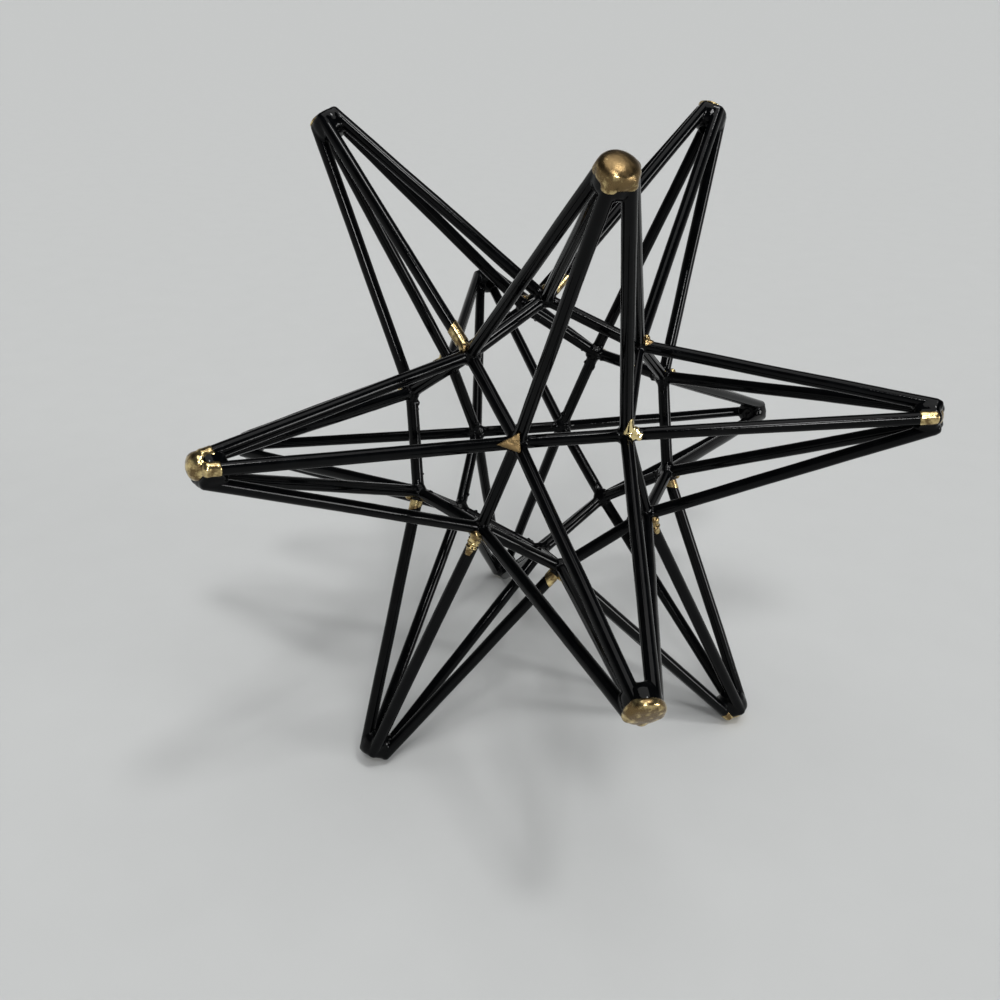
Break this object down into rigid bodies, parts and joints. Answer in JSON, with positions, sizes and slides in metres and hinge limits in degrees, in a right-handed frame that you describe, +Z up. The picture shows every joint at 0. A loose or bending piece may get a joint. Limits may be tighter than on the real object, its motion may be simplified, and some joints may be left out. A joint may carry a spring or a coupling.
{
  "type": "geometric star sculpture",
  "caption": "Open wire star ornament: leaning rods form pointed spikes on a pentagon-faced wire core, with brass-coloured brazing at the tips and joints; it stands on its lowest tips.",
  "frame": {"origin": "on the table, straight under the middle of the star", "axes": "+Z up through a corner of the core; +X over the first foot, along the longest extent"},
  "size_m": [0.187, 0.1634, 0.1529],
  "materials": {
    "black_enamel": "gloss",
    "brass": "satin"
  },
  "bodies": {
    "root": {"spike_top_1": "black_enamel", "spike_top_2": "black_enamel", "spike_top_3": "black_enamel", "spike_upper_1": "black_enamel", "spike_upper_2": "black_enamel", "spike_upper_3": "black_enamel", "spike_lower_1": "black_enamel", "spike_lower_2": "black_enamel", "spike_lower_3": "black_enamel", "spike_foot_1": "black_enamel", "spike_foot_2": "black_enamel", "spike_foot_3": "black_enamel", "tip_cap_top_1": "brass", "tip_cap_top_2": "brass", "tip_cap_top_3": "brass", "tip_cap_upper_1": "brass", "tip_cap_upper_2": "brass", "tip_cap_upper_3": "brass", "tip_cap_lower_1": "brass", "tip_cap_lower_2": "brass", "tip_cap_lower_3": "brass", "tip_cap_foot_1": "brass", "tip_cap_foot_2": "brass", "tip_cap_foot_3": "brass", "core_wire_1": "black_enamel", "core_wire_2": "black_enamel", "core_wire_3": "black_enamel", "core_wire_4": "black_enamel", "core_wire_5": "black_enamel", "core_wire_6": "black_enamel", "core_wire_7": "black_enamel", "core_wire_8": "black_enamel", "core_wire_9": "black_enamel", "core_wire_10": "black_enamel", "joint_bead_01": "brass", "joint_bead_02": "brass", "joint_bead_03": "brass", "joint_bead_04": "brass", "joint_bead_05": "brass", "joint_bead_06": "brass", "joint_bead_07": "brass", "joint_bead_08": "brass", "joint_bead_09": "brass", "joint_bead_10": "brass", "joint_bead_11": "brass", "joint_bead_12": "brass", "joint_bead_13": "brass", "joint_bead_14": "brass", "joint_bead_15": "brass", "joint_bead_16": "brass", "joint_bead_17": "brass", "joint_bead_18": "brass", "joint_bead_19": "brass", "joint_bead_20": "brass"}
  },
  "joints": []
}
